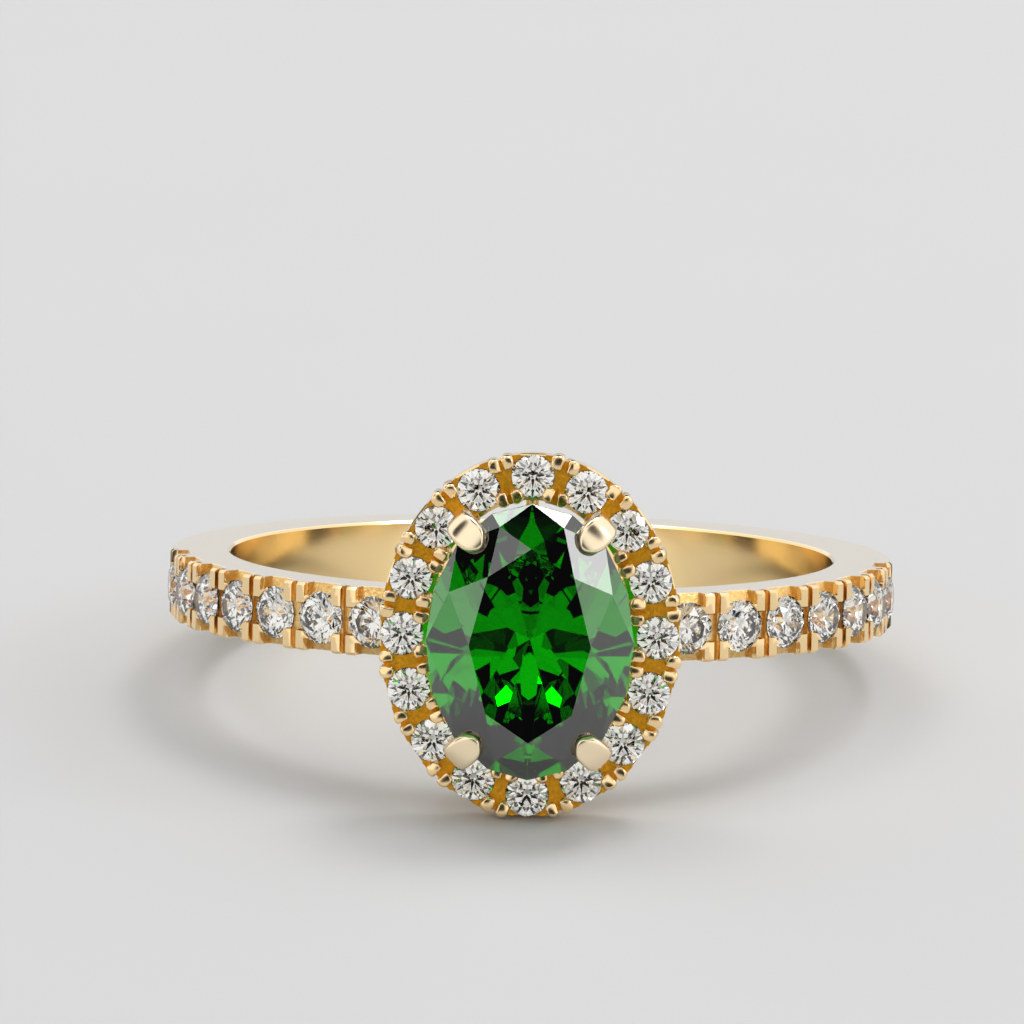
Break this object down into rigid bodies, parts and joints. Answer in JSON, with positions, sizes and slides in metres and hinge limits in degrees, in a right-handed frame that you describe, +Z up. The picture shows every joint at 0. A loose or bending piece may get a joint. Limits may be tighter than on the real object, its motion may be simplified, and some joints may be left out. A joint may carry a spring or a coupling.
{
  "type": "halo ring",
  "caption": "Yellow metal finger ring with a claw-set oval green stone in a halo of small clear stones, and clear stones along both shoulders of a slim band.",
  "frame": {"origin": "centre of the finger hole, with the ring lying on its side as it rests on a table", "axes": "+Z up from the table, -Y towards the viewer of the head, +X across the ring; the finger hole's axis is tipped back from +Z by the angle at which the ring rests"},
  "size_m": [0.0218, 0.0257, 0.0105],
  "materials": {
    "polished_gold": "polished",
    "bright_gold": "bright polished",
    "clear_gem": "faceted and polished",
    "green_gem": "faceted and polished"
  },
  "bodies": {
    "root": {"shank": "polished_gold", "gallery_rail": "polished_gold", "gallery_posts": "polished_gold", "halo_frame": "polished_gold", "halo_prongs": "bright_gold", "shoulder_prongs_left": "bright_gold", "shoulder_prongs_right": "bright_gold", "centre_stone": "green_gem", "claw_upper_right": "bright_gold", "claw_lower_right": "bright_gold", "claw_lower_left": "bright_gold", "claw_upper_left": "bright_gold", "halo_stone_01": "clear_gem", "halo_stone_02": "clear_gem", "halo_stone_03": "clear_gem", "halo_stone_04": "clear_gem", "halo_stone_05": "clear_gem", "halo_stone_06": "clear_gem", "halo_stone_07": "clear_gem", "halo_stone_08": "clear_gem", "halo_stone_09": "clear_gem", "halo_stone_10": "clear_gem", "halo_stone_11": "clear_gem", "halo_stone_12": "clear_gem", "halo_stone_13": "clear_gem", "halo_stone_14": "clear_gem", "halo_stone_15": "clear_gem", "halo_stone_16": "clear_gem", "shoulder_stone_left_1": "clear_gem", "shoulder_stone_left_2": "clear_gem", "shoulder_stone_left_3": "clear_gem", "shoulder_stone_left_4": "clear_gem", "shoulder_stone_left_5": "clear_gem", "shoulder_stone_left_6": "clear_gem", "shoulder_stone_left_7": "clear_gem", "shoulder_stone_right_1": "clear_gem", "shoulder_stone_right_2": "clear_gem", "shoulder_stone_right_3": "clear_gem", "shoulder_stone_right_4": "clear_gem", "shoulder_stone_right_5": "clear_gem", "shoulder_stone_right_6": "clear_gem", "shoulder_stone_right_7": "clear_gem"}
  },
  "joints": []
}
